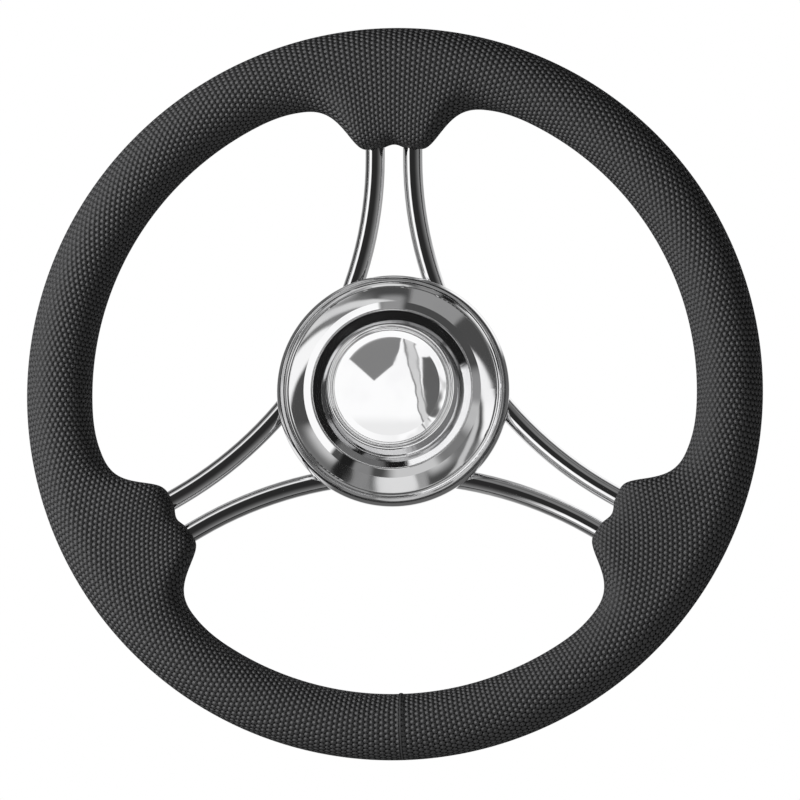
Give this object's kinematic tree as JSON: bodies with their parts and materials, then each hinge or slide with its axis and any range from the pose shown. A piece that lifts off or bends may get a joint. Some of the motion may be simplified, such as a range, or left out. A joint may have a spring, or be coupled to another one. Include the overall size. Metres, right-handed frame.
{
  "type": "boat steering wheel",
  "caption": "Boat steering wheel: padded ring with lobed grips on bowed polished rods, and a polished round hub with a pull-off cap over the shaft nut.",
  "frame": {"origin": "on the turning axis, in the middle plane of the grip", "axes": "+Z through the upper lobe, +Y along the turning axis towards the helm, so the driver is on the -Y side; +X to the driver's right"},
  "size_m": [0.35, 0.0504, 0.3504],
  "materials": {
    "grip": "moulded grain",
    "polished_steel": "mirror polished stainless steel",
    "plain_steel": "turned",
    "seal": "smooth"
  },
  "bodies": {
    "wheel": {"rim_grip": "grip", "rim_core": "plain_steel", "spoke_rod_1": "polished_steel", "spoke_rod_2": "polished_steel", "spoke_rod_3": "polished_steel", "hub_plate": "plain_steel", "hub_boss": "plain_steel", "hub_cover": "polished_steel", "cap_socket": "plain_steel"},
    "cap": {"cap_collar": "polished_steel", "cap_dome": "polished_steel", "cap_seal": "seal"}
  },
  "joints": [
    {"name": "cap_pull", "type": "slide", "parent": "wheel", "child": "cap", "axis": [0, -1, 0], "range_m": [0, 0.025]}
  ]
}
